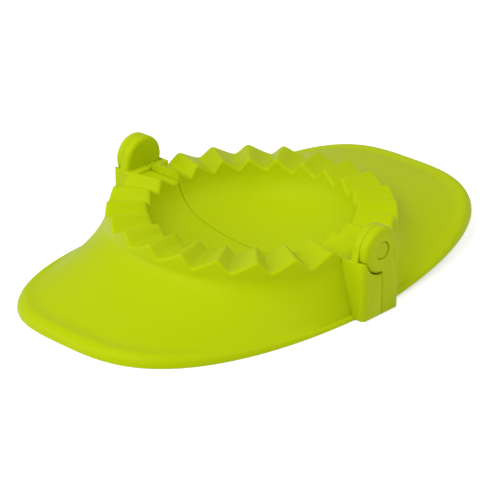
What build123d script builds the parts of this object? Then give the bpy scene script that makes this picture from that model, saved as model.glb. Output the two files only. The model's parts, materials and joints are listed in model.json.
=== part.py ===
from build123d import *
import math
import os

# Hand press that folds and crimps filled dough turnovers, lying open and flat.
# Millimetres, +Z up, the table at Z = 0, the hinge axis along X at Y = 0.
# The front half lies towards -Y and the rear half towards +Y. Each half is one
# moulding: a half bowl, a toothed ring, and a hollow-backed skirt and wing.

# ---------------------------------------------------------------- shells
WALL = 2.0              # shell thickness
FLANGE = 2.2            # thickness of the flat ring under the teeth
PART_GAP = 0.15         # each half stops this far from the parting plane

# ---------------------------------------------------------------- teeth
CREST_Z = 23.0          # tops of the crimping teeth
TOOTH_DEPTH = 3.5       # crest to valley
TOOTH_PITCH = 15.2      # degrees from crest to crest
RISE_SHARE = 0.66       # part of the pitch taken by the long facet
TEETH_EACH_SIDE = 5     # full teeth on either side of the middle one
CREST_EASE = 0.8        # length of each facet given to the rounded crest
CREST_LIFT = 0.2        # sharp apex above the rounded crest
TOOTH_ROOT = 1.0        # how far a tooth is sunk into the flange
LEAN_IN = 0.7           # inner tooth ends lean outwards by this much
LEAN_OUT = 0.6          # outer tooth ends lean inwards by this much

# ---------------------------------------------------------------- bowl
BOWL_EDGE_R = 35.8      # inside of the bowl where it meets the ring
BOWL_DEPTH = 14.7       # from the tooth valleys down to the bowl's centre
BOWL_FLOOR_R = 100.0    # radius of the shallow floor curve
BOWL_BREAK_R = 24.5     # where the floor turns up into the side
RING_WIDE = 14.8        # bowl edge to the top of the skirt

# ---------------------------------------------------------------- wing
WING_REACH = 37.6       # top of the skirt to the wing tip, along Y
WING_SIDE_RIGHT = 5.5   # top of the skirt to its foot beside the hinge, +X end
WING_SIDE_LEFT = 2.0    # and at the -X end, where the wings are slimmer
TIP_POWER_RIGHT = 2.9   # fullness of the outline round the tip, +X side
TIP_POWER_LEFT = 3.45   # and on the -X side
SIDE_POWER_RIGHT = 2.15 # fullness of the outline beside the hinge, +X side
SIDE_POWER_LEFT = 2.1   # and on the -X side
SWEEP_NEAR = 0.3        # upper handle of the skirt's curve, as a share of its width
SWEEP_FAR = 0.8         # lower handle of the skirt's curve
SWEEP_HIGH = 0.33       # height of the upper handle, as a share of the drop
RIM_TIP = 4.0           # height of the rolled rim at the wing tip
RIM_LOW = 1.5           # height of the rim beside the legs
RIM_START_Y = 26.0      # |Y| at which the rim begins to grow
UPRIGHT_WIDTH = 6.0     # wing width at which the skirt is a plain wall
TUCK_R = 0.3            # skirt starts this far inside the ring's edge
TUCK_Z = 0.6            # and this far below the tooth valleys
REAR_LIFT = 8.3         # finger room under the tip of the rear wing
SECTIONS = 17           # radial sections in the skirt of one half

# ---------------------------------------------------------------- hinge
DOUGH_GAP = 0.3         # hinge axis above the crests
KNUCKLE_R = 8.1         # inner knuckle and outer disc
KNUCKLE_OFF = 1.8       # top of the skirt to the inner knuckle
KNUCKLE_WIDE = 3.65
DISC_WIDE = 3.25
SIDE_GAP = 0.2          # between knuckle and disc, and beside the knuckle
SEAT_GAP = 0.4          # radial room around the mating knuckle or disc
FACE_ROUND = 0.8        # softened edge of a plate's open face
SEAM_ROUND = 0.25       # softened edge where knuckle and disc meet
FRONT_HEEL = 0.8        # front leg beyond the seat, along Y
REAR_HEEL = 0.2         # rear leg beyond the seat, along Y
LEG_RISE = 1.2          # leg top above the tooth valleys
LEG_SINK = 1.0          # leg reaches this far in under the ring
LEG_ROUND = 1.8         # outer upright corner of a leg
PIN_R = 3.2
PIN_RUN = 0.05          # radial running clearance in the disc
PIN_GRIP = 0.03         # radial press in the knuckle
PIN_BLIND = 1.3         # knuckle wall behind the pin
PIN_RECESS = 0.3        # pin end below the disc's outer face
PIN_CHAMFER = 0.4

# ---------------------------------------------------------------- drawing aids
OVERRUN = 2.0           # how far a cutter or a blank runs past what it meets
FAR = 4 * (BOWL_EDGE_R + RING_WIDE + WING_REACH)
ARC_HANDLE = 0.552      # Bezier handle of a quarter circle of radius 1
HALVINGS = 50           # steps that find a radius of the outline

# ---------------------------------------------------------------- follows
VALLEY_Z = CREST_Z - TOOTH_DEPTH
AXIS_Z = CREST_Z + DOUGH_GAP
TOOTH_RISE = TOOTH_PITCH * RISE_SHARE
TOOTH_FALL = TOOTH_PITCH - TOOTH_RISE
RING_OUT_R = BOWL_EDGE_R + RING_WIDE
WING_LENGTH = RING_OUT_R + WING_REACH
WING_RIGHT_X = RING_OUT_R + WING_SIDE_RIGHT
WING_LEFT_X = RING_OUT_R + WING_SIDE_LEFT
KNUCKLE_IN_X = RING_OUT_R + KNUCKLE_OFF
KNUCKLE_OUT_X = KNUCKLE_IN_X + KNUCKLE_WIDE
DISC_IN_X = KNUCKLE_OUT_X + SIDE_GAP
LEG_OUT_X = DISC_IN_X + DISC_WIDE
LEG_IN_X = RING_OUT_R - LEG_SINK
LEG_TOP_Z = VALLEY_Z + LEG_RISE
SEAT_R = KNUCKLE_R + SEAT_GAP
PIN_IN_X = KNUCKLE_IN_X + PIN_BLIND


def place(angle, r, z):
    return Vector(r * math.cos(angle), r * math.sin(angle), z)


def block(x0, x1, y0, y1, z0, z1):
    size = (x1 - x0, y1 - y0, z1 - z0)
    middle = ((x0 + x1) / 2, (y0 + y1) / 2, (z0 + z1) / 2)
    return Pos(*middle) * Box(*size)


def barrel(radius, x0, x1):
    """Cylinder on the hinge axis."""
    return Pos((x0 + x1) / 2, 0, AXIS_Z) * Rot(0, 90, 0) * Cylinder(radius, x1 - x0)


def both_sides(solid):
    return [solid, mirror(solid, Plane.YZ)]


def front_space(gap):
    """Everything in front of the parting plane."""
    return block(-FAR, FAR, -FAR, -gap, -FAR, FAR)


# ---------------------------------------------------------------- skirt and wing
def rim_radius(angle, turned):
    """Outline of the wing, (x / width)^tip + (y / length)^side = 1, in polar form.

    The radius is found by halving. A turned half is drawn facing -Y and then
    turned round, which swaps its sides.
    """
    right = (math.cos(angle) > 0) != turned
    width = WING_RIGHT_X if right else WING_LEFT_X
    tip_power = TIP_POWER_RIGHT if right else TIP_POWER_LEFT
    side_power = SIDE_POWER_RIGHT if right else SIDE_POWER_LEFT
    across = abs(math.cos(angle)) / width
    along = abs(math.sin(angle)) / WING_LENGTH
    inside, outside = 0.0, FAR
    for _ in range(HALVINGS):
        radius = (inside + outside) / 2
        if (radius * across) ** tip_power + (radius * along) ** side_power < 1:
            inside = radius
        else:
            outside = radius
    return inside


def rim_height(y):
    """Rolled rim, tall at the tip and fading towards the legs."""
    grow = (abs(y) - RIM_START_Y) / (WING_LENGTH - RIM_START_Y)
    return max(RIM_LOW, RIM_TIP * math.sqrt(max(grow, 0)))


def skirt_section(angle, lift, turned, skin):
    """Closed radial section; skin above zero gives the hollow inside it."""
    slope = lift / WING_LENGTH * abs(math.sin(angle))
    edge = rim_radius(angle, turned)
    high = rim_height(edge * math.sin(angle))
    start = edge - high
    base = high + slope * edge
    top_r = RING_OUT_R - TUCK_R
    top_z = VALLEY_Z - TUCK_Z
    width = start - top_r
    drop = top_z - base
    upright = min(1.0, (UPRIGHT_WIDTH / (edge - RING_OUT_R)) ** 2)
    step = drop * upright / 3
    swell = drop * (1 - upright) * SWEEP_HIGH
    handle = high * ARC_HANDLE

    def at(r, z):
        return place(angle, r - skin, z - skin)

    skirt = Bezier(
        at(top_r, top_z),
        at(top_r + width * SWEEP_NEAR, base + 2 * step + swell),
        at(top_r + width * SWEEP_FAR, base + step),
        at(start, base),
    )
    roll = Bezier(
        at(start, base),
        at(start + handle, base),
        at(edge, base - high + handle),
        at(edge, base - high),
    )
    sunk = OVERRUN + skin if skin else 0
    inner = top_r - WALL - OVERRUN - skin
    a = place(angle, inner, top_z - skin)
    b = place(angle, inner, slope * inner - sunk)
    c = place(angle, edge - skin, slope * edge - sunk)
    edges = [skirt, roll]
    if skin:
        edges.append(Line(roll @ 1, c))
    edges.append(Line(c, b))
    edges.append(Line(b, a))
    edges.append(Line(a, skirt @ 0))
    return make_face(Wire(edges))


def skirt_loft(lift, turned, skin):
    turn = math.pi / (SECTIONS - 1)
    angles = [i * turn - math.pi for i in range(SECTIONS)]
    return loft([skirt_section(angle, lift, turned, skin) for angle in angles])


# ---------------------------------------------------------------- bowl and ring
def bowl(skin):
    """Solid of revolution whose underside is the bowl's inside, plus skin."""
    lean = math.asin(BOWL_BREAK_R / BOWL_FLOOR_R)
    centre_z = VALLEY_Z - BOWL_DEPTH + BOWL_FLOOR_R
    break_z = centre_z - BOWL_FLOOR_R * math.cos(lean)
    run = BOWL_EDGE_R - BOWL_BREAK_R
    climb = VALLEY_Z - break_z
    half_turn = math.atan2(climb, run) - lean
    side_r = math.hypot(run, climb) / (2 * math.sin(half_turn))
    side_x = BOWL_BREAK_R - side_r * math.sin(lean)
    side_z = break_z + side_r * math.cos(lean)

    def on_floor(turn):
        r = BOWL_FLOOR_R + skin
        return Vector(r * math.sin(turn), 0, centre_z - r * math.cos(turn))

    def on_side(turn):
        r = side_r + skin
        return Vector(side_x + r * math.sin(turn), 0, side_z - r * math.cos(turn))

    floor_arc = ThreePointArc(on_floor(0), on_floor(lean / 2), on_floor(lean))
    end = on_side(lean + 2 * half_turn)
    side_arc = ThreePointArc(on_floor(lean), on_side(lean + half_turn), end)
    top = end if skin else end + Vector(0, 0, OVERRUN)
    lid = Line(top, Vector(0, 0, top.Z))
    edges = [floor_arc, side_arc, lid, Line(lid @ 1, floor_arc @ 0)]
    if not skin:
        edges.insert(2, Line(end, top))
    return revolve(make_face(Wire(edges)), Axis.Z, 360)


def ring(points):
    outline = Polyline(*[(r, 0, z) for r, z in points], close=True)
    return revolve(make_face(outline), Axis.Z, 360)


def flange():
    low = VALLEY_Z - FLANGE
    return ring(
        [
            (BOWL_EDGE_R - OVERRUN, low),
            (RING_OUT_R, low),
            (RING_OUT_R, VALLEY_Z),
            (BOWL_EDGE_R - OVERRUN, VALLEY_Z),
        ]
    )


# ---------------------------------------------------------------- teeth
def tooth_section(radius, crest_angle):
    """One saw tooth, in the plane across its crest line."""
    root_z = VALLEY_Z - TOOTH_ROOT

    def at(turn, z):
        reach = radius / math.cos(math.radians(turn))
        return place(math.radians(crest_angle + turn), reach, z)

    up = at(-TOOTH_RISE, VALLEY_Z)
    apex = at(0, CREST_Z + CREST_LIFT)
    down = at(TOOTH_FALL, VALLEY_Z)
    ease = CREST_EASE * radius / RING_OUT_R
    left = apex + (up - apex).normalized() * ease
    right = apex + (down - apex).normalized() * ease
    low_up = at(-TOOTH_RISE, root_z)
    low_down = at(TOOTH_FALL, root_z)
    edges = [
        Line(low_up, up),
        Line(up, left),
        Bezier(left, apex, right),
        Line(right, down),
        Line(down, low_down),
        Line(low_down, low_up),
    ]
    return make_face(Wire(edges))


def tooth(crest_angle):
    inner = tooth_section(BOWL_EDGE_R - OVERRUN, crest_angle)
    outer = tooth_section(RING_OUT_R + OVERRUN, crest_angle)
    return loft([inner, outer], ruled=True)


def teeth():
    """The front half's teeth, trimmed to the ring."""
    low = VALLEY_Z - TOOTH_ROOT / 2
    high = CREST_Z + CREST_LIFT
    share = (high - VALLEY_Z) / TOOTH_DEPTH
    envelope = ring(
        [
            (BOWL_EDGE_R + LEAN_IN, low),
            (BOWL_EDGE_R, VALLEY_Z),
            (BOWL_EDGE_R + LEAN_IN * share, high),
            (RING_OUT_R - LEAN_OUT * share, high),
            (RING_OUT_R, VALLEY_Z),
            (RING_OUT_R - LEAN_OUT, low),
        ]
    )
    turns = range(-TEETH_EACH_SIDE, TEETH_EACH_SIDE + 2)
    return [tooth(TOOTH_PITCH * k - 90) & envelope for k in turns]


# ---------------------------------------------------------------- the halves
def moulding(lift, turned):
    """Bowl, ring, teeth, skirt and wing of one half, facing -Y."""
    front = front_space(0)
    skirt = skirt_loft(lift, turned, 0) - skirt_loft(lift, turned, WALL)
    body = skirt + (flange() & front) + (bowl(WALL) & front)
    body = body + teeth()
    body = body - bowl(0)
    return body & front_space(PART_GAP)


def leg(depth):
    """Leg on the +X side, from the parting plane towards -Y."""
    body = block(LEG_IN_X, LEG_OUT_X, -depth, -PART_GAP, 0, LEG_TOP_Z)
    uprights = body.edges().filter_by(Axis.Z)
    return fillet(uprights.group_by(Axis.X)[-1].group_by(Axis.Y)[0], LEG_ROUND)


def plate(seam_x, face_x):
    """Round hinge plate on the +X side, its open face softer than its seam."""
    body = barrel(KNUCKLE_R, min(seam_x, face_x), max(seam_x, face_x))
    seam_end, face_end = (0, -1) if seam_x < face_x else (-1, 0)
    rims = body.edges().filter_by(GeomType.CIRCLE).group_by(Axis.X)
    body = fillet(rims[face_end], FACE_ROUND)
    rims = body.edges().filter_by(GeomType.CIRCLE).group_by(Axis.X)
    return fillet(rims[seam_end], SEAM_ROUND)


def add(body, solid):
    """Join a solid and its mirror image, one at a time."""
    for one in both_sides(solid):
        body = body + one
    return body


def cut(body, solid):
    for one in both_sides(solid):
        body = body - one
    return body


def front_half():
    """Carries the inner knuckles; its legs are cut out around the discs."""
    body = add(moulding(0, False), leg(SEAT_R + FRONT_HEEL))
    body = cut(body, barrel(SEAT_R, KNUCKLE_OUT_X, LEG_OUT_X + OVERRUN))
    body = add(body, plate(KNUCKLE_OUT_X, KNUCKLE_IN_X))
    return cut(body, barrel(PIN_R - PIN_GRIP, PIN_IN_X, LEG_OUT_X))


def rear_half():
    """Carries the outer discs; built facing -Y, then turned round."""
    body = add(moulding(REAR_LIFT, True), leg(SEAT_R + REAR_HEEL))
    body = cut(body, barrel(SEAT_R, KNUCKLE_IN_X - SIDE_GAP, DISC_IN_X))
    web = block(DISC_IN_X, LEG_OUT_X, -KNUCKLE_R, -PART_GAP, LEG_TOP_Z - OVERRUN, AXIS_Z)
    body = add(body, web)
    body = add(body, plate(DISC_IN_X, LEG_OUT_X))
    bore = barrel(PIN_R + PIN_RUN, DISC_IN_X - OVERRUN, LEG_OUT_X + OVERRUN)
    return Rot(0, 0, 180) * cut(body, bore)


def hinge_pin():
    """Short pin, gripped by the knuckle and running in the disc."""
    body = barrel(PIN_R, PIN_IN_X, LEG_OUT_X - PIN_RECESS)
    return chamfer(body.edges().group_by(Axis.X)[-1], PIN_CHAMFER)


def main():
    os.makedirs("parts", exist_ok=True)
    right, left = both_sides(hinge_pin())
    nodes = {
        "front_half": front_half(),
        "rear_half": rear_half(),
        "hinge_pin_right": right,
        "hinge_pin_left": left,
    }
    for name, solid in nodes.items():
        print(name, solid.is_valid, len(solid.solids()), round(solid.volume))
        export_step(solid, f"parts/{name}.step")


main()
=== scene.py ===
"""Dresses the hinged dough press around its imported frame.

Lengths in the classes are millimetres; MM turns them into metres as meshes are
made. Each half is drawn facing -Y, and the rear one is then turned round.
"""

import json
import logging
import math
from dataclasses import dataclass, field
from enum import Enum

import bmesh
import bpy
import numpy as np
from mathutils import Matrix, Vector
from mathutils.geometry import tessellate_polygon

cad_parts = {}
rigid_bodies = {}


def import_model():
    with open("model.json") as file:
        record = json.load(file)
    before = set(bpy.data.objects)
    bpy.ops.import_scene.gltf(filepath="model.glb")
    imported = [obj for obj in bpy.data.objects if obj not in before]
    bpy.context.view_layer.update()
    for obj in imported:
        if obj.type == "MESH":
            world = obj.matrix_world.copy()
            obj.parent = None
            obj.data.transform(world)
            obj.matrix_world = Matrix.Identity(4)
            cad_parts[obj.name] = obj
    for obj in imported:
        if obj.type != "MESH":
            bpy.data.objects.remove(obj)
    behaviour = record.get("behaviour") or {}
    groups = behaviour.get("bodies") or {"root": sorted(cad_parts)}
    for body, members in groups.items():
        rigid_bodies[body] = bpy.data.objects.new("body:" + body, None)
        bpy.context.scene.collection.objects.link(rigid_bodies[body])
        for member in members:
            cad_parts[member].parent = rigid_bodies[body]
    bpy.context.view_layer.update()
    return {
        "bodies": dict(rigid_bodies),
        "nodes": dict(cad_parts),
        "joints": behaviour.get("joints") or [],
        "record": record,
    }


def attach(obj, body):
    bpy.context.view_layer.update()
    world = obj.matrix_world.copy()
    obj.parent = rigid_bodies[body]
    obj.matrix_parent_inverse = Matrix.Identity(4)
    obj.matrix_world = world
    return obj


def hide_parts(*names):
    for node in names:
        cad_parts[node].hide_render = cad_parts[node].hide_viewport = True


LOG = logging.getLogger("press")
MM = 0.001


class Half(Enum):
    """The two mouldings of the press, by the body each one rides on."""

    FRONT = "front"
    REAR = "rear"

    @property
    def node(self) -> str:
        """Name of the CAD node that the half's pieces stand for."""
        return f"{self.value}_half"

    @property
    def slot(self) -> str:
        """Name of the record's material slot."""
        return f"{self.value}_moulding"

    @property
    def turn(self) -> Matrix:
        """Turn from the drawing, which faces -Y, to the half's own place."""
        angle = 0.0 if self is Half.FRONT else math.pi
        return Matrix.Rotation(angle, 4, "Z")


class Side(Enum):
    """The two ends of the hinge, as seen in a half's own drawing."""

    RIGHT = 1
    LEFT = -1


# ---------------------------------------------------------------- node helpers
class Nodes:
    """Short way to add and join nodes in a material or geometry tree."""

    def __init__(self, tree: bpy.types.NodeTree) -> None:
        """Keeps the tree that the nodes go into.

        Args:
            tree: Node tree to build in.
        """
        self.tree = tree

    def add(self, kind: str, **settings: object) -> bpy.types.Node:
        """Adds one node.

        Args:
            kind: Blender's type name of the node.
            **settings: Attributes to set on it.

        Returns:
            The new node.
        """
        node = self.tree.nodes.new(kind)
        for name, value in settings.items():
            setattr(node, name, value)
        return node

    def put(self, value: object, socket: bpy.types.NodeSocket) -> None:
        """Joins an output to a socket, or writes a plain value into it.

        Args:
            value: Output socket, number or colour.
            socket: Input socket that receives it.
        """
        if isinstance(value, bpy.types.NodeSocket):
            self.tree.links.new(value, socket)
        else:
            socket.default_value = value

    def math(self, operation: str, *values: object) -> bpy.types.NodeSocket:
        """Adds a Math node.

        Args:
            operation: Blender's name of the operation.
            *values: Output sockets or numbers, in the node's order.

        Returns:
            The node's result.
        """
        node = self.add("ShaderNodeMath", operation=operation)
        for value, socket in zip(values, node.inputs):
            self.put(value, socket)
        return node.outputs[0]


# ---------------------------------------------------------------- finishes
@dataclass(frozen=True)
class LimePlastic:
    """Satin moulded polypropylene, with fine texture and a painted highlight on its thin edges.

    Attributes:
        name: Material name.
        colour: Base colour, linear.
        deep: Colour of the slightly denser patches, linear.
        edge: Colour painted on the thin edges as a highlight, linear.
        gleam: Tint of the reflections.
        specular: Strength of the reflections, the same all over.
        ior: Index of refraction of the plastic.
        roughness: Roughness of the clean satin surface.
        rubbed: How far handling lowers and raises the roughness.
        rub_range: Noise values between which the roughness changes.
        highlight_range: Pointiness at which the painted edge highlight starts, and is strongest.
        highlight_most: Share of the painted highlight colour on the most pointed edge.
        cloud_scale: Noise cells per metre of the denser patches.
        rub_scale: Noise cells per metre of the handling marks.
        grain_scale: Noise cells per metre of the moulded grain.
        grain: Height of the moulded grain, in metres.
        grain_strength: How strongly the grain turns the surface.
    """

    name: str = "LimePlastic"
    colour: tuple[float, float, float] = (0.515, 0.640, 0.0030)
    deep: tuple[float, float, float] = (0.495, 0.622, 0.0025)
    edge: tuple[float, float, float] = (0.600, 0.705, 0.0080)
    gleam: tuple[float, float, float] = (1.0, 1.0, 0.15)
    specular: float = 0.15
    ior: float = 1.49
    roughness: float = 0.38
    rubbed: tuple[float, float] = (0.03, 0.05)
    rub_range: tuple[float, float] = (0.30, 0.70)
    highlight_range: tuple[float, float] = (0.53, 0.66)
    highlight_most: float = 0.55
    cloud_scale: float = 38.0
    rub_scale: float = 90.0
    grain_scale: float = 1500.0
    grain: float = 0.000012
    grain_strength: float = 0.5

    def build(self) -> bpy.types.Material:
        """Builds the node tree.

        Returns:
            The finished material.
        """
        material = bpy.data.materials.new(self.name)
        material.use_nodes = True
        tree = Nodes(material.node_tree)
        shader = material.node_tree.nodes["Principled BSDF"]
        place = tree.add("ShaderNodeTexCoord").outputs["Object"]
        colour = self._clouded(tree, place)
        tree.put(self._painted_edge_highlight(tree, colour), shader.inputs["Base Color"])
        tree.put(self._rubbed(tree, place), shader.inputs["Roughness"])
        tree.put(self._grained(tree, place), shader.inputs["Normal"])
        shader.inputs["Specular IOR Level"].default_value = self.specular
        shader.inputs["Specular Tint"].default_value = (*self.gleam, 1.0)
        shader.inputs["IOR"].default_value = self.ior
        return material

    def _noise(
        self, tree: Nodes, place: bpy.types.NodeSocket, scale: float, detail: float
    ) -> bpy.types.NodeSocket:
        """Adds a noise texture.

        Args:
            tree: Tree to build in.
            place: Object coordinates.
            scale: Noise cells per metre.
            detail: Octaves.

        Returns:
            The noise value socket.
        """
        noise = tree.add("ShaderNodeTexNoise")
        tree.put(place, noise.inputs["Vector"])
        noise.inputs["Scale"].default_value = scale
        noise.inputs["Detail"].default_value = detail
        return noise.outputs[0]

    def _clouded(self, tree: Nodes, place: bpy.types.NodeSocket) -> bpy.types.NodeSocket:
        """Faint clouds where the pigment is denser.

        Args:
            tree: Tree to build in.
            place: Object coordinates.

        Returns:
            The colour socket.
        """
        mix = tree.add("ShaderNodeMix", data_type="RGBA")
        tree.put(self._noise(tree, place, self.cloud_scale, 3.0), mix.inputs[0])
        mix.inputs[6].default_value = (*self.colour, 1.0)
        mix.inputs[7].default_value = (*self.deep, 1.0)
        return mix.outputs[2]

    def _painted_edge_highlight(self, tree: Nodes, colour: bpy.types.NodeSocket) -> bpy.types.NodeSocket:
        """Paints thin edges paler, as a highlight standing in for the light they catch.

        Args:
            tree: Tree to build in.
            colour: Colour of the plain surface.

        Returns:
            The colour socket.
        """
        # Painted highlight: pointiness picks out the sharp edges, which are lightened towards the edge
        # colour.
        point = tree.add("ShaderNodeNewGeometry").outputs["Pointiness"]
        ramp = tree.add("ShaderNodeMapRange")
        tree.put(point, ramp.inputs["Value"])
        ramp.inputs["From Min"].default_value = self.highlight_range[0]
        ramp.inputs["From Max"].default_value = self.highlight_range[1]
        ramp.inputs["To Max"].default_value = self.highlight_most
        mix = tree.add("ShaderNodeMix", data_type="RGBA")
        tree.put(ramp.outputs[0], mix.inputs[0])
        tree.put(colour, mix.inputs[6])
        # The paler colour painted on the edges as a highlight.
        mix.inputs[7].default_value = (*self.edge, 1.0)
        return mix.outputs[2]

    def _rubbed(self, tree: Nodes, place: bpy.types.NodeSocket) -> bpy.types.NodeSocket:
        """Roughness that varies a little, as from handling and washing.

        Args:
            tree: Tree to build in.
            place: Object coordinates.

        Returns:
            The roughness socket.
        """
        ramp = tree.add("ShaderNodeMapRange")
        tree.put(self._noise(tree, place, self.rub_scale, 4.0), ramp.inputs["Value"])
        ramp.inputs["From Min"].default_value = self.rub_range[0]
        ramp.inputs["From Max"].default_value = self.rub_range[1]
        ramp.inputs["To Min"].default_value = self.roughness - self.rubbed[0]
        ramp.inputs["To Max"].default_value = self.roughness + self.rubbed[1]
        return ramp.outputs[0]

    def _grained(self, tree: Nodes, place: bpy.types.NodeSocket) -> bpy.types.NodeSocket:
        """Fine grain that the mould leaves on the surface.

        Args:
            tree: Tree to build in.
            place: Object coordinates.

        Returns:
            The normal socket.
        """
        bump = tree.add("ShaderNodeBump")
        tree.put(self._noise(tree, place, self.grain_scale, 2.0), bump.inputs["Height"])
        bump.inputs["Strength"].default_value = self.grain_strength
        bump.inputs["Distance"].default_value = self.grain
        return bump.outputs[0]


@dataclass(frozen=True)
class StudioPaper:
    """White paper sweep that keeps a soft shadow under the press.

    Attributes:
        name: Material name.
        shade: Base colour, the same in red, green and blue, linear.
        roughness: Roughness of the paper.
        specular: Strength of its reflections.
        glow: Light that the camera alone sees it give.
    """

    name: str = "StudioPaper"
    shade: float = 0.86
    roughness: float = 0.9
    specular: float = 0.1
    glow: float = 0.55

    def build(self) -> bpy.types.Material:
        """Builds the node tree.

        Returns:
            The finished material.
        """
        material = bpy.data.materials.new(self.name)
        material.use_nodes = True
        tree = Nodes(material.node_tree)
        shader = material.node_tree.nodes["Principled BSDF"]
        shader.inputs["Base Color"].default_value = (self.shade, self.shade, self.shade, 1.0)
        shader.inputs["Roughness"].default_value = self.roughness
        shader.inputs["Specular IOR Level"].default_value = self.specular
        shader.inputs["Emission Color"].default_value = (1.0, 1.0, 1.0, 1.0)
        ray = tree.add("ShaderNodeLightPath")
        glow = tree.math("MULTIPLY", ray.outputs["Is Camera Ray"], self.glow)
        tree.put(glow, shader.inputs["Emission Strength"])
        return material


# ---------------------------------------------------------------- mesh helpers
def make_piece(name: str, mesh: bpy.types.Mesh, material: bpy.types.Material) -> bpy.types.Object:
    """Puts a mesh in the scene as a piece at the origin.

    Args:
        name: Name of the piece.
        mesh: Finished mesh, with its place in its vertices.
        material: Its finish.

    Returns:
        The new object.
    """
    mesh.name = name
    mesh.materials.clear()
    mesh.materials.append(material)
    piece = bpy.data.objects.new(name, mesh)
    bpy.context.scene.collection.objects.link(piece)
    return piece


def flatten_modifiers(piece: bpy.types.Object) -> None:
    """Turns the evaluated piece into a plain mesh and drops its modifiers.

    Args:
        piece: Object with live modifiers.
    """
    graph = bpy.context.evaluated_depsgraph_get()
    graph.update()
    mesh = bpy.data.meshes.new_from_object(piece.evaluated_get(graph), depsgraph=graph)
    piece.modifiers.clear()
    piece.data = mesh
    mesh.name = piece.name


def smooth_by_angle(mesh: bpy.types.Mesh, degrees: float) -> None:
    """Shades a mesh smooth, apart from its sharp edges.

    Args:
        mesh: Mesh to shade.
        degrees: Angle above which an edge stays sharp.
    """
    mesh.polygons.foreach_set("use_smooth", [True] * len(mesh.polygons))
    mesh.set_sharp_from_angle(angle=math.radians(degrees))


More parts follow.
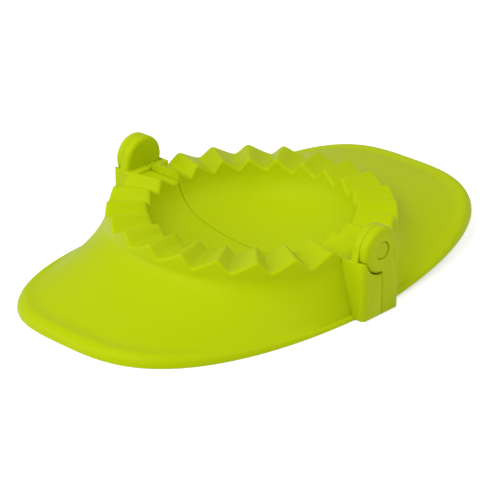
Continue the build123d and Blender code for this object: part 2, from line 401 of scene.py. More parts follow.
# ---------------------------------------------------------------- the moulding
@dataclass
class ToothRule:
    """Saw teeth round the ring, as a Geometry Nodes rule.

    Each point carries its angle, ``turn``, how much of the tooth height it takes,
    ``share``, and how far a full tooth moves it outwards, ``lean``, as a share of
    its radius. The rule lifts it by the height of the saw at that angle.
    """

    pitch: float = 15.2
    rise_share: float = 0.66
    depth: float = 3.5
    each_side: int = 5
    crest_ease: float = 0.60
    valley_ease: float = 0.18
    rise_steps: tuple[float, ...] = (0.0, 0.015, 0.04, 0.10, 0.22, 0.36, 0.50, 0.58, 0.62, 0.645)
    fall_steps: tuple[float, ...] = (0.04, 0.10, 0.22, 0.42, 0.66, 0.86, 0.96)
    first_turns: tuple[float, ...] = (-180.0, -178.6, -177.2, -176.4)
    last_turn: float = -0.3

    @property
    def first_valley(self) -> float:
        """Angle at which the first tooth starts to rise."""
        return -90.0 - self.each_side * self.pitch - self.pitch * self.rise_share

    def height(self, share: float) -> float:
        """Height of the eased saw, from 0 in a valley to about 1 at a crest.

        Args:
            share: Place within one tooth, from 0 to 1.

        Returns:
            The height.
        """
        rising = share / self.rise_share
        falling = (1.0 - share) / (1.0 - self.rise_share)
        near = max(self.crest_ease - abs(rising - falling), 0.0) / self.crest_ease
        eased = min(rising, falling) - near**3 * self.crest_ease / 6.0
        return math.hypot(eased, self.valley_ease) - self.valley_ease

    def turns(self, count: int) -> np.ndarray:
        """Angles for the mesh, gathered at crests and valleys.

        Args:
            count: Number of teeth, whole or cut.

        Returns:
            Angles in degrees, from -180 to 0.
        """
        rise = self.rise_share
        fall = 1.0 - rise
        shares = [*self.rise_steps, rise]
        shares += [rise + fall * x for x in self.fall_steps]
        angles = list(self.first_turns)
        for tooth in range(count):
            start = self.first_valley + tooth * self.pitch
            angles += [start + share * self.pitch for share in shares]
        kept = [a for a in angles if a < self.last_turn]
        return np.array(sorted(kept) + [0.0])

    def tree(self, material: bpy.types.Material) -> bpy.types.NodeTree:
        """Builds the Geometry Nodes tree.

        Args:
            material: Finish to set on the result.

        Returns:
            The tree, with named inputs for its sizes.
        """
        group = bpy.data.node_groups.new("SawTeeth", "GeometryNodeTree")
        face = group.interface
        face.new_socket("Geometry", in_out="INPUT", socket_type="NodeSocketGeometry")
        for name in self._sizes():
            face.new_socket(name, in_out="INPUT", socket_type="NodeSocketFloat")
        face.new_socket("Geometry", in_out="OUTPUT", socket_type="NodeSocketGeometry")
        tree = Nodes(group)
        given = tree.add("NodeGroupInput").outputs
        turn = self._attribute(tree, "turn")
        share = self._attribute(tree, "share")
        passed = tree.math("DIVIDE", tree.math("SUBTRACT", turn, given["First valley"]), given["Pitch"])
        within = tree.math("FRACT", passed)
        rising = tree.math("DIVIDE", within, given["Rise share"])
        rest = tree.math("SUBTRACT", 1.0, given["Rise share"])
        falling = tree.math("DIVIDE", tree.math("SUBTRACT", 1.0, within), rest)
        saw = tree.math("SMOOTH_MIN", rising, falling, given["Crest ease"])
        ease = given["Valley ease"]
        squared = tree.math("ADD", tree.math("MULTIPLY", saw, saw), tree.math("MULTIPLY", ease, ease))
        eased = tree.math("SUBTRACT", tree.math("SQRT", squared), ease)
        started = tree.math("GREATER_THAN", passed, 0.0)
        lift = tree.math("MULTIPLY", tree.math("MULTIPLY", eased, started), given["Depth"])
        full = tree.math("DIVIDE", lift, given["Full depth"])
        outwards = tree.math("MULTIPLY", full, self._attribute(tree, "lean"))
        place = tree.add("ShaderNodeSeparateXYZ")
        tree.put(tree.add("GeometryNodeInputPosition").outputs[0], place.inputs[0])
        offset = tree.add("ShaderNodeCombineXYZ")
        for axis in ("X", "Y"):
            tree.put(tree.math("MULTIPLY", place.outputs[axis], outwards), offset.inputs[axis])
        tree.put(tree.math("MULTIPLY", lift, share), offset.inputs["Z"])
        move = tree.add("GeometryNodeSetPosition")
        tree.put(given["Geometry"], move.inputs["Geometry"])
        tree.put(offset.outputs[0], move.inputs["Offset"])
        realize = tree.add("GeometryNodeRealizeInstances")
        tree.put(move.outputs[0], realize.inputs[0])
        dress = tree.add("GeometryNodeSetMaterial")
        tree.put(realize.outputs[0], dress.inputs["Geometry"])
        dress.inputs["Material"].default_value = material
        tree.put(dress.outputs[0], tree.add("NodeGroupOutput").inputs[0])
        return group

    def _sizes(self) -> dict[str, float]:
        """Sizes that the rule takes, by the names of its inputs."""
        return {
            "First valley": self.first_valley,
            "Pitch": self.pitch,
            "Rise share": self.rise_share,
            "Depth": self.depth * MM / self.height(self.rise_share),
            "Full depth": self.depth * MM,
            "Crest ease": self.crest_ease,
            "Valley ease": self.valley_ease,
        }

    def _attribute(self, tree: Nodes, name: str) -> bpy.types.NodeSocket:
        """Reads a named number from the mesh.

        Args:
            tree: Tree to build in.
            name: Attribute name.

        Returns:
            The attribute's socket.
        """
        node = tree.add("GeometryNodeInputNamedAttribute", data_type="FLOAT")
        node.inputs["Name"].default_value = name
        return node.outputs["Attribute"]

    def cut(self, piece: bpy.types.Object, material: bpy.types.Material) -> None:
        """Raises the teeth on a piece, which ends up as a plain mesh.

        Args:
            piece: Moulding with ``turn``, ``share`` and ``lean`` on its points.
            material: Finish to set on the result.
        """
        tree = self.tree(material)
        modifier = piece.modifiers.new("SawTeeth", "NODES")
        modifier.node_group = tree
        sizes = self._sizes()
        for item in tree.interface.items_tree:
            if item.in_out == "INPUT" and item.name in sizes:
                modifier[item.identifier] = sizes[item.name]
        flatten_modifiers(piece)


@dataclass
class Moulding:
    """One half of the press: bowl, ring, skirt, wing and rolled rim.

    The surface is one closed sheet: a profile that starts at the bowl's centre,
    runs out over the ring and down the wing, and comes back underneath.
    """

    half: Half
    rear_lift: float = 0.0
    wall: float = 2.0
    part_gap: float = 0.15
    valley_z: float = 19.5
    flange: float = 2.2
    bowl_edge: float = 35.8
    bowl_depth: float = 14.7
    bowl_floor: float = 100.0
    bowl_break: float = 24.5
    ring_out: float = 50.6
    tooth_fade: tuple[float, ...] = (0.02, 0.07, 0.17, 0.34)
    lean_in: float = 0.7
    lean_out: float = 0.6
    lip_lean: float = 0.05
    inner_round: float = 1.6
    outer_round: float = 1.2
    wing_length: float = 88.2
    wing_right: float = 56.1
    wing_left: float = 52.6
    tip_powers: tuple[float, float] = (2.9, 3.45)
    side_powers: tuple[float, float] = (2.15, 2.1)
    sweep_near: float = 0.3
    sweep_far: float = 0.8
    sweep_high: float = 0.33
    rim_tip: float = 4.0
    rim_low: float = 1.5
    rim_start: float = 26.0
    rim_dip: float = 0.1
    hollow_at: float = 0.9
    hollow_narrow: float = 1.6
    hollow_fade: float = 0.3
    root_share: float = 0.62
    upright: float = 6.0
    step_down: float = 0.25
    inside_points: tuple[int, int] = (9, 16)
    beneath_points: tuple[int, int] = (7, 12)
    skirt_points: int = 33
    skirt_gather: float = 1.15
    roll_points: int = 11
    top_points: int = 5
    face_points: int = 4
    under_runs: tuple[float, float] = (2.0, 1.0)
    weld_gap: float = 0.0001
    crease: float = 50.0
    teeth: ToothRule = field(default_factory=ToothRule)

    @property
    def skirt_top(self) -> float:
        """Height at which the skirt leaves the rounded edge of the ring."""
        return self.valley_z - self.outer_round - self.step_down

    # -- profile ---------------------------------------------------------
    def bowl_arc(self, skin: float, points: tuple[int, int], top_z: float) -> np.ndarray:
        """Bowl section from just off the centre to the ring.

        Args:
            skin: Thickness below the inside of the bowl.
            points: Points along the shallow floor, and along the side.
            top_z: Height at which the inside of the bowl ends.

        Returns:
            Rows of radius and height.
        """
        lean = math.asin(self.bowl_break / self.bowl_floor)
        centre = self.valley_z - self.bowl_depth + self.bowl_floor
        break_z = centre - self.bowl_floor * math.cos(lean)
        run = self.bowl_edge - self.bowl_break
        climb = self.valley_z - break_z
        half_turn = math.atan2(climb, run) - lean
        side = math.hypot(run, climb) / (2 * math.sin(half_turn))
        side_x = self.bowl_break - side * math.sin(lean)
        side_z = break_z + side * math.cos(lean)
        end = math.acos((side_z - top_z) / side)
        floor = np.linspace(0, lean, points[0] + 1)[1:]
        wall = np.linspace(lean, end, points[1] + 1)[1:]
        r_floor = (self.bowl_floor + skin) * np.sin(floor)
        z_floor = centre - (self.bowl_floor + skin) * np.cos(floor)
        r_wall = side_x + (side + skin) * np.sin(wall)
        z_wall = side_z - (side + skin) * np.cos(wall)
        radii = np.concatenate([r_floor, r_wall])
        heights = np.concatenate([z_floor, z_wall])
        return np.stack([radii, heights], axis=1)

    def outline(self, angle: float) -> float:
        """Distance from the centre to the wing's edge.

        Args:
            angle: Polar angle in radians.

        Returns:
            The distance.
        """
        right = (math.cos(angle) > 0) != (self.half is Half.REAR)
        width = self.wing_right if right else self.wing_left
        tip_power = self.tip_powers[0 if right else 1]
        side_power = self.side_powers[0 if right else 1]
        across = abs(math.cos(angle)) / width
        along = abs(math.sin(angle)) / self.wing_length
        inside, outside = 0.0, 2 * self.wing_length
        for _ in range(40):
            radius = (inside + outside) / 2
            if (radius * across) ** tip_power + (radius * along) ** side_power < 1:
                inside = radius
            else:
                outside = radius
        return inside

    def rim_height(self, y: float) -> float:
        """Height of the rolled rim.

        Args:
            y: Distance from the hinge axis.

        Returns:
            The height, tall at the tip and fading towards the legs.
        """
        grow = (abs(y) - self.rim_start) / (self.wing_length - self.rim_start)
        tall = self.rim_tip * math.sqrt(max(grow, 0.0))
        return (tall**4 + self.rim_low**4) ** 0.25

    def skirt(self, angle: float) -> np.ndarray:
        """Skirt and rolled rim, from the ring down to the foot.

        Args:
            angle: Polar angle in radians.

        Returns:
            Rows of radius and height.
        """
        edge = self.outline(angle)
        high = self.rim_height(edge * math.sin(angle))
        base = high + self.underside(edge, angle)
        start = edge - high
        width = start - self.ring_out
        top_z = self.skirt_top
        upright = min(1.0, (self.upright / (edge - self.ring_out)) ** 2)
        step = (top_z - base) * upright / 3
        swell = (top_z - base) * (1 - upright) * self.sweep_high
        corners = np.array(
            [
                (self.ring_out, top_z),
                (self.ring_out + width * self.sweep_near, base + 2 * step + swell),
                (self.ring_out + width * self.sweep_far, base + step),
                (start, base),
            ]
        )
        t = (np.linspace(0, 1, self.skirt_points) ** self.skirt_gather)[:, None]
        s = 1 - t
        curve = (
            s**3 * corners[0]
            + 3 * s**2 * t * corners[1]
            + 3 * s * t**2 * corners[2]
            + t**3 * corners[3]
        )
        curve = self.rounded_root(curve, t[:, 0])
        inwards = (curve[:, 0] - start) / high + self.hollow_at
        hollow = np.exp(-(inwards**2) * self.hollow_narrow)
        fade = (1 - upright) * np.sin(np.pi * t[:, 0]) ** self.hollow_fade
        curve[:, 1] -= self.rim_dip * high * hollow * fade
        bend = np.linspace(0, math.pi / 2, self.roll_points)[1:]
        roll = np.stack([start + high * np.sin(bend), base - high + high * np.cos(bend)], axis=1)
        return np.concatenate([curve, roll])

    def rounded_root(self, curve: np.ndarray, t: np.ndarray) -> np.ndarray:
        """Bends the top of the skirt so that it leaves the ring straight down.

        Args:
            curve: Rows of radius and height from the ring outwards.
            t: Each row's share of the way.

        Returns:
            The rows, the first ones bent.
        """
        last = int(np.searchsorted(t, self.root_share))
        start, end = curve[0], curve[last]
        slope = curve[last + 1] - curve[last - 1]
        steep = slope[1] / max(slope[0], 1e-6)
        corner_z = min(max(end[1] + (start[0] - end[0]) * steep, end[1]), start[1])
        corner = np.array([start[0], corner_z])
        u = (t[: last + 1] / t[last])[:, None]
        bent = (1 - u) ** 2 * start + 2 * u * (1 - u) * corner + u**2 * end
        return np.concatenate([bent, curve[last + 1 :]])

    def underside(self, radius: float, angle: float) -> float:
        """Height of the plane that the wing's foot lies in.

        Args:
            radius: Distance from the centre.
            angle: Polar angle in radians.

        Returns:
            The height, above 0 only where the rear wing is lifted.
        """
        return self.rear_lift / self.wing_length * radius * abs(math.sin(angle))

    def inner_skin(self, outer: np.ndarray, angle: float) -> np.ndarray:
        """Hollow side of the skirt, one wall in from the outside.

        Args:
            outer: Rows of radius and height from ring to foot.
            angle: Polar angle in radians.

        Returns:
            Rows of radius and height, from the foot back up to the flange.
        """
        slope = np.gradient(outer, axis=0)
        slope /= np.maximum(np.linalg.norm(slope, axis=1, keepdims=True), 1e-9)
        inner = outer + self.wall * np.stack([slope[:, 1], -slope[:, 0]], axis=1)
        foot = np.array([self.underside(r, angle) for r in inner[:, 0]])
        inner[:, 1] = np.maximum(inner[:, 1], foot)
        inner[:, 1] = np.minimum(inner[:, 1], self.valley_z - self.flange)
        inner[:, 0] = np.maximum.accumulate(inner[:, 0])
        return inner[::-1]

    def ring_section(self, start: np.ndarray) -> tuple[np.ndarray, np.ndarray]:
        """Ring across its width, with rounded edges that follow the teeth.

        Args:
            start: Radius and height at which the bowl ends.

        Returns:
            Rows of radius and height, and each point's share of the teeth.
        """
        bend = np.radians(np.array([15, 30, 45, 60, 75, 90]))
        rise = np.linspace(0, 1, self.face_points + 1)[1:]
        r_in, r_out = self.inner_round, self.outer_round
        low = np.array([start[0] + self.lip_lean, self.valley_z - r_in])
        face_in = start + (low - start) * rise[:, None]
        roll_in = low + r_in * np.stack([1 - np.cos(bend), np.sin(bend)], axis=1)
        flat = np.linspace(low[0] + r_in, self.ring_out - r_out, self.top_points + 1)[1:]
        top = np.stack([flat, np.full(self.top_points, self.valley_z)], axis=1)
        crown = np.array([self.ring_out - r_out, self.valley_z])
        roll_out = crown + r_out * np.stack([np.sin(bend), np.cos(bend) - 1], axis=1)
        end = np.array([self.ring_out, self.skirt_top])
        face_out = roll_out[-1] + (end - roll_out[-1]) * rise[:-1, None]
        rows = [face_in, roll_in, top, roll_out, face_out]
        flat_share = np.ones(len(roll_in) + len(top) + len(roll_out))
        left = 1 - self.tooth_fade[-1]
        shares = [1 - left * (1 - rise), flat_share, 1 - left * rise[:-1]]
        return np.concatenate(rows), np.concatenate(shares)

    def profile(self, angle: float) -> tuple[np.ndarray, np.ndarray, np.ndarray]:
        """Whole section at one angle, from the bowl's centre and back to it.

        Args:
            angle: Polar angle in radians.

        Returns:
            Rows of radius and height, and each point's share and lean of the teeth.
        """
        bowl_top = self.valley_z - self.inner_round - self.step_down
        inside = self.bowl_arc(0.0, self.inside_points, bowl_top)
        ring, ring_share = self.ring_section(inside[-1])
        outside = self.skirt(angle)
        inner = self.inner_skin(outside, angle)
        beneath = self.bowl_arc(self.wall, self.beneath_points, self.valley_z)[::-1]
        under_z = self.valley_z - self.flange
        runs = (inner[-1, 0] - self.under_runs[0], beneath[0, 0] + self.under_runs[1])
        under = np.array([(r, under_z) for r in runs])
        beneath[:, 1] = np.minimum(beneath[:, 1], under_z)
        points = np.concatenate([inside, ring, outside, inner, under, beneath])
        share = np.zeros(len(points))
        first = len(inside)
        last = first + len(ring)
        fade = len(self.tooth_fade)
        share[first - fade : first] = self.tooth_fade
        share[first:last] = ring_share
        share[last : last + fade] = self.tooth_fade[::-1]
        ends = (self.bowl_edge, self.ring_out)
        lean = share * np.interp(points[:, 0], ends, (self.lean_in, -self.lean_out)) / points[:, 0]
        return points, share, lean

    # -- mesh ------------------------------------------------------------
    def sheet(self) -> bpy.types.Mesh:
        """Open sheet of the half, with turn, share and lean on each point.

        Returns:
            The mesh, facing -Y, still without teeth and ends.
        """
        turns = self.teeth.turns(2 * self.teeth.each_side + 2)
        verts: list[tuple[float, float, float]] = []
        marks: list[tuple[float, float, float]] = []
        for turn in turns:
            angle = math.radians(turn)
            points, share, lean = self.profile(angle)
            c, s = math.cos(angle), math.sin(angle)
            verts += [(r * c, r * s, z) for r, z in points]
            marks += [(turn, w, out) for w, out in zip(share, lean)]
        row = len(verts) // len(turns)
        floor = self.valley_z - self.bowl_depth
        top_pole, low_pole = len(verts), len(verts) + 1
        verts += [(0.0, 0.0, floor), (0.0, 0.0, floor - self.wall)]
        marks += [(-90.0, 0.0, 0.0), (-90.0, 0.0, 0.0)]
        faces: list[tuple[int, ...]] = []
        for i in range(len(turns) - 1):
            a, b = i * row, (i + 1) * row
            faces.append((top_pole, a, b))
            faces += [(a + k, a + k + 1, b + k + 1, b + k) for k in range(row - 1)]
            faces.append((a + row - 1, low_pole, b + row - 1))
        shrink = 1 - self.part_gap / self.wing_length
        placed = [(x * MM, (y * shrink - self.part_gap) * MM, z * MM) for x, y, z in verts]
        mesh = bpy.data.meshes.new("sheet")
        mesh.from_pydata(placed, [], faces)
        for k, name in enumerate(("turn", "share", "lean")):
            layer = mesh.attributes.new(name, "FLOAT", "POINT")
            layer.data.foreach_set("value", [m[k] for m in marks])
        return mesh

    def close_ends(self, mesh: bpy.types.Mesh) -> None:
        """Fills the flat end along the parting plane.

        Args:
            mesh: Sheet with its teeth, open along the parting plane.
        """
        work = bmesh.new()
        work.from_mesh(mesh)
        bmesh.ops.remove_doubles(work, verts=work.verts, dist=self.weld_gap * MM)
        loop = self._border(work)
        flat = [Vector((v.co.x, v.co.z, 0.0)) for v in loop]
        for a, b, c in tessellate_polygon([flat]):
            if len({a, b, c}) == 3:
                work.faces.new((loop[a], loop[b], loop[c]))
        bmesh.ops.recalc_face_normals(work, faces=work.faces)
        work.to_mesh(mesh)
        work.free()

    def _border(self, work: bmesh.types.BMesh) -> list[bmesh.types.BMVert]:
        """Walks the open border of the sheet.

        Args:
            work: Mesh with one open border.

        Returns:
            The border's points in order.
        """
        edges = {e for e in work.edges if e.is_boundary}
        start = next(iter(edges))
        loop = [start.verts[0]]
        edge, here = start, start.verts[1]
        while here != loop[0]:
            loop.append(here)
            edge = next(e for e in here.link_edges if e in edges and e != edge)
            here = edge.other_vert(here)
        return loop

    def build(self, material: bpy.types.Material) -> bpy.types.Object:
        """Makes the finished half and puts it on its body.

        Args:
            material: Its finish.

        Returns:
            The piece.
        """
        piece = make_piece(f"{self.half.value}_moulding", self.sheet(), material)
        self.teeth.cut(piece, material)
        self.close_ends(piece.data)
        piece.data.transform(self.half.turn)
        for name in ("turn", "share", "lean"):
            piece.data.attributes.remove(piece.data.attributes[name])
        smooth_by_angle(piece.data, self.crease)
        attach(piece, self.half.value)
        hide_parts(self.half.node)
        return piece


# ---------------------------------------------------------------- hinge ends
@dataclass
class HingeEnd:
    """One leg of a half with the round plate it carries on the hinge axis.

    It is drawn on the right side, facing -Y, and mirrored for the left one.
    """

    half: Half
    side: Side
    depth: float
    seam_x: float
    face_x: float
    seat_in: float
    seat_out: float
    web_foot: float
    bore: float
    axis_z: float = 23.3
    plate_r: float = 8.09
    face_round: float = 1.5
    seam_round: float = 0.12
    seat_gap: float = 0.4
    leg_in: float = 49.6
    leg_out: float = 59.5
    leg_top: float = 20.7
    leg_round: float = 1.8
    web_rise: float = 1.4
    web_sink: float = 2.0
    edge_round: float = 0.25
    edge_steps: int = 3
    edge_angle: float = 40.0
    bore_run: float = 10.0
    crease: float = 35.0
    weld_gap: float = 0.002
    part_gap: float = 0.11

    def _plan(self, x_in: float, x_out: float, depth: float, r: float) -> list[tuple[float, float]]:
        """Plan of a block behind the parting plane, with one round corner.

        Args:
            x_in: End with the square corner.
            x_out: End with the round corner.
            depth: Distance it reaches from the parting plane.
            r: Radius of the round corner.

        Returns:
            Corners in X and Y.
        """
        way = 1.0 if x_out > x_in else -1.0
        arc = [math.radians(a) for a in range(-90, 1, 9)]
        corner = [(x_out + way * r * (math.cos(a) - 1), -depth + r + r * math.sin(a)) for a in arc]
        return [(x_in, -self.part_gap), (x_in, -depth), *corner, (x_out, -self.part_gap)]

    def leg_mesh(self) -> bpy.types.Mesh:
        """Upright leg with a round outer corner.

        Returns:
            The mesh, in metres, on the right side facing -Y.
        """
        plan = self._plan(self.leg_in, self.leg_out, self.depth, self.leg_round)
        return self._prism(plan, 0.0, self.leg_top)

    def web_mesh(self) -> bpy.types.Mesh:
        """Shoulder that carries the plate's side down into the leg.

        Returns:
            The mesh, leaning in from the leg's face to the plate's side.
        """
        plan = self._plan(self.seam_x, self.face_x, self.plate_r, self.face_round)
        mesh = self._prism(plan, self.leg_top - self.web_sink, self.axis_z + self.web_rise)
        lean = (self.web_foot - self.plate_r) / (self.plate_r - self.part_gap)
        for vert in mesh.vertices:
            if vert.co.z < self.leg_top * MM:
                vert.co.y += (vert.co.y + self.part_gap * MM) * lean
        return mesh

    def _prism(self, plan: list[tuple[float, float]], low: float, high: float) -> bpy.types.Mesh:
        """Raises a plan into a closed prism.

        Args:
            plan: Corners in X and Y.
            low: Height of the underside.
            high: Height of the top.

        Returns:
            The mesh.
        """
        work = bmesh.new()
        verts = [work.verts.new((x * MM, y * MM, low * MM)) for x, y in plan]
        base = work.faces.new(verts)
        raised = bmesh.ops.extrude_face_region(work, geom=[base])
        lifted = [v for v in raised["geom"] if isinstance(v, bmesh.types.BMVert)]
        bmesh.ops.translate(work, verts=lifted, vec=(0, 0, (high - low) * MM))
        bmesh.ops.recalc_face_normals(work, faces=work.faces)
        mesh = bpy.data.meshes.new("prism")
        work.to_mesh(mesh)
        work.free()
        return mesh

    def _lathe(self, outline: list[tuple[float, float]], steps: int = 96) -> bpy.types.Mesh:
        """Turns an outline round the hinge axis.

        Args:
            outline: Corners in X and radius, first and last on the axis.
            steps: Facets round the axis.

        Returns:
            The closed mesh.
        """
        work = bmesh.new()
        rings = []
        for x, r in outline:
            if r == 0:
                rings.append([work.verts.new((x * MM, 0, self.axis_z * MM))])
                continue
            ring = []
            for i in range(steps):
                a = 2 * math.pi * i / steps
                y, z = r * math.cos(a), self.axis_z + r * math.sin(a)
                ring.append(work.verts.new((x * MM, y * MM, z * MM)))
            rings.append(ring)
        for a, b in zip(rings, rings[1:]):
            for i in range(steps):
                j = (i + 1) % steps
                quad = [a[i % len(a)], a[j % len(a)], b[j % len(b)], b[i % len(b)]]
                corners = list(dict.fromkeys(quad))
                if len(corners) > 2:
                    work.faces.new(corners)
        bmesh.ops.recalc_face_normals(work, faces=work.faces)
        mesh = bpy.data.meshes.new("lathe")
        work.to_mesh(mesh)
        work.free()
        return mesh

    def plate_mesh(self) -> bpy.types.Mesh:
        """Round plate, its open face softer than its seam.

        Returns:
            The mesh.
        """
        way = 1.0 if self.face_x > self.seam_x else -1.0
        bend = [math.radians(a) for a in range(0, 91, 15)]
        outline = [(self.seam_x, 0.0)]
        for x, e, turned in ((self.seam_x, self.seam_round, way), (self.face_x, self.face_round, -way)):
            arc = [(x + turned * e * (1 - math.cos(a)), self.plate_r - e + e * math.sin(a)) for a in bend]
            outline += arc if turned == way else reversed(arc)
        return self._lathe([*outline, (self.face_x, 0.0)])

    def drum_mesh(self, radius: float, x0: float, x1: float) -> bpy.types.Mesh:
        """Plain drum on the hinge axis, used for seats and bores.

        Args:
            radius: Its radius.
            x0: Inner end.
            x1: Outer end.

        Returns:
            The mesh.
        """
        return self._lathe([(x0, 0.0), (x0, radius), (x1, radius), (x1, 0.0)])

    def _combine(self, piece: bpy.types.Object, tool: bpy.types.Mesh, operation: str) -> None:
        """Joins a tool to the piece, or cuts it away, and keeps the result.

        Args:
            piece: Piece being made.
            tool: Mesh to join or cut with.
            operation: UNION or DIFFERENCE.
        """
        helper = bpy.data.objects.new("tool", tool)
        bpy.context.scene.collection.objects.link(helper)
        modifier = piece.modifiers.new("combine", "BOOLEAN")
        modifier.operation = operation
        modifier.solver = "EXACT"
        modifier.object = helper
        flatten_modifiers(piece)
        bpy.data.objects.remove(helper)

    def _weld(self, mesh: bpy.types.Mesh) -> None:
        """Closes up the slivers that the cuts and joins leave behind.

        Args:
            mesh: Mesh of the finished piece.
        """
        work = bmesh.new()
        work.from_mesh(mesh)
        bmesh.ops.remove_doubles(work, verts=work.verts, dist=self.weld_gap * MM)
        bmesh.ops.dissolve_degenerate(work, dist=self.weld_gap * MM, edges=work.edges)
        work.to_mesh(mesh)
        work.free()

    def build(self, material: bpy.types.Material) -> bpy.types.Object:
        """Makes the leg with its plate and puts it on its body.

        Args:
            material: Its finish.

        Returns:
            The piece.
        """
        name = f"{self.half.value}_leg_{self.side.name.lower()}"
        piece = make_piece(name, self.leg_mesh(), material)
        bevel = piece.modifiers.new("edges", "BEVEL")
        bevel.width = self.edge_round * MM
        bevel.segments = self.edge_steps
        bevel.limit_method = "ANGLE"
        bevel.angle_limit = math.radians(self.edge_angle)
        flatten_modifiers(piece)
        seat = self.drum_mesh(self.plate_r + self.seat_gap, self.seat_in, self.seat_out)
        self._combine(piece, seat, "DIFFERENCE")
        self._combine(piece, self.web_mesh(), "UNION")
        self._combine(piece, self.plate_mesh(), "UNION")
        if self.bore:
            hole = self.drum_mesh(self.bore, self.seat_in, self.seat_out + self.bore_run)
            self._combine(piece, hole, "DIFFERENCE")
        self._weld(piece.data)
        if self.side is Side.LEFT:
            piece.data.transform(Matrix.Scale(-1.0, 4, (1.0, 0.0, 0.0)))
            piece.data.flip_normals()
        piece.data.transform(self.half.turn)
        smooth_by_angle(piece.data, self.crease)
        piece.data.materials.clear()
        piece.data.materials.append(material)
        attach(piece, self.half.value)
        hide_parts(self.half.node)
        return piece


# ---------------------------------------------------------------- the studio
@dataclass(frozen=True)
class Lamp:
    """A square soft box that faces the press.

    Attributes:
        name: Name of the lamp.
        turn: Degrees round the press from the camera, to the right.
        rise: Degrees above the table.
        power: Its power in watts.
        size: Width of the soft box, in metres.
    """

    name: str
    turn: float
    rise: float
    power: float
    size: float = 1.0


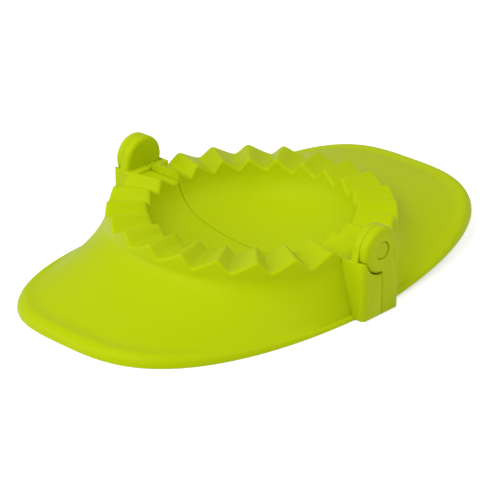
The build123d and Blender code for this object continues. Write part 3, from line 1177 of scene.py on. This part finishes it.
@dataclass
class Studio:
    """Paper sweep, soft lamps and the camera, with its lengths in metres."""

    azimuth: float = 43.57
    elevation: float = 24.17
    distance: float = 0.8662
    aim_z: float = 0.023
    lens: float = 185.19
    shift: tuple[float, float] = (-0.01404, -0.0919)
    sensor: float = 36.0
    clip: tuple[float, float] = (0.01, 50.0)
    lamp_distance: float = 1.8
    lamp_aim_z: float = 0.01
    lamps: tuple[Lamp, ...] = (
        Lamp("soft_key", -50.0, 52.0, 13.3),
        Lamp("soft_side", -80.0, 22.0, 8.4),
        Lamp("soft_fill", 50.0, 52.0, 6.5),
        Lamp("soft_back", 100.0, 52.0, 4.2),
    )
    air_strength: float = 0.29
    floor_cells: int = 8
    floor_half: float = 4.0
    floor_drop: float = 0.0002

    def floor(self) -> None:
        """Makes the paper sweep and puts it in the scene."""
        work = bmesh.new()
        cells = self.floor_cells
        bmesh.ops.create_grid(work, x_segments=cells, y_segments=cells, size=self.floor_half)
        mesh = bpy.data.meshes.new("paper")
        work.to_mesh(mesh)
        work.free()
        mesh.transform(Matrix.Translation((0, 0, -self.floor_drop)))
        paper = make_piece("studio_paper", mesh, StudioPaper().build())

    def light(self, lamp: Lamp) -> None:
        """Adds a lamp.

        Args:
            lamp: Its place, size and power.
        """
        bearing = math.radians(self.azimuth + lamp.turn)
        rise = math.radians(lamp.rise)
        flat = self.lamp_distance * math.cos(rise)
        place = Vector((flat * math.sin(bearing), -flat * math.cos(bearing), 0.0))
        place.z = self.lamp_distance * math.sin(rise)
        data = bpy.data.lights.new(lamp.name, "AREA")
        data.size = lamp.size
        data.energy = lamp.power
        box = bpy.data.objects.new(lamp.name, data)
        box.location = place
        aim = Vector((0, 0, self.lamp_aim_z)) - place
        box.rotation_euler = aim.to_track_quat("-Z", "Y").to_euler()
        bpy.context.scene.collection.objects.link(box)

    def air(self) -> None:
        """Lights the room evenly from all sides, and shows the camera plain white."""
        world = bpy.data.worlds.new("studio_air")
        world.use_nodes = True
        tree = Nodes(world.node_tree)
        back = world.node_tree.nodes["Background"]
        back.inputs["Color"].default_value = (1.0, 1.0, 1.0, 1.0)
        ray = tree.add("ShaderNodeLightPath").outputs["Is Camera Ray"]
        gain = tree.math("MULTIPLY", ray, 1.0 - self.air_strength)
        tree.put(tree.math("ADD", gain, self.air_strength), back.inputs["Strength"])
        bpy.context.scene.world = world

    def camera(self) -> None:
        """Adds the camera."""
        az, el = math.radians(self.azimuth), math.radians(self.elevation)
        ahead = Vector((-math.sin(az) * math.cos(el), math.cos(az) * math.cos(el), -math.sin(el)))
        data = bpy.data.cameras.new("studio_camera")
        data.sensor_fit = "HORIZONTAL"
        data.sensor_width = self.sensor
        data.lens = self.lens
        data.shift_x, data.shift_y = self.shift
        data.clip_start, data.clip_end = self.clip
        camera = bpy.data.objects.new("studio_camera", data)
        camera.location = Vector((0, 0, self.aim_z)) - ahead * self.distance
        camera.rotation_euler = ahead.to_track_quat("-Z", "Y").to_euler()
        bpy.context.scene.collection.objects.link(camera)
        bpy.context.scene.camera = camera

    def build(self) -> None:
        """Sets up the whole studio."""
        self.floor()
        self.air()
        for lamp in self.lamps:
            self.light(lamp)
        self.camera()
        bpy.context.scene.view_settings.view_transform = "Standard"


# ---------------------------------------------------------------- assembly
@dataclass
class Press:
    """The whole press, dressed piece by piece."""

    rear_lift: float = 8.3

    def hinge_ends(self) -> list[HingeEnd]:
        """Sizes of the legs on both halves and both sides.

        Returns:
            One entry for each leg.
        """
        ends = []
        for side in Side:
            ends.append(
                HingeEnd(
                    Half.FRONT,
                    side,
                    depth=9.3,
                    seam_x=56.11,
                    face_x=52.4,
                    seat_in=56.11,
                    seat_out=61.5,
                    web_foot=9.3,
                    bore=0.0,
                )
            )
            ends.append(
                HingeEnd(
                    Half.REAR,
                    side,
                    depth=8.7,
                    seam_x=56.19,
                    face_x=59.5,
                    seat_in=52.2,
                    seat_out=56.19,
                    web_foot=8.1,
                    bore=3.25,
                )
            )
        return ends

    def build(self, frame: dict) -> None:
        """Dresses the frame.
        """
        plastic = LimePlastic().build()
        pieces = [
            Moulding(Half.FRONT).build(plastic),
            Moulding(Half.REAR, rear_lift=self.rear_lift).build(plastic),
        ]
        pieces += [end.build(plastic) for end in self.hinge_ends()]
        for name, node in frame["nodes"].items():
            for slot in node.material_slots:
                slot.material = plastic
            LOG.info("%s: %d slots dressed", name, len(node.material_slots))
        for piece in pieces:
            LOG.info("%s: %d faces", piece.name, len(piece.data.polygons))


def main() -> None:
    """Builds the press and its studio."""
    logging.basicConfig(level=logging.INFO, format="%(name)s: %(message)s")
    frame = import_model()
    Press().build(frame)
    Studio().build()


if __name__ == "__main__":
    main()
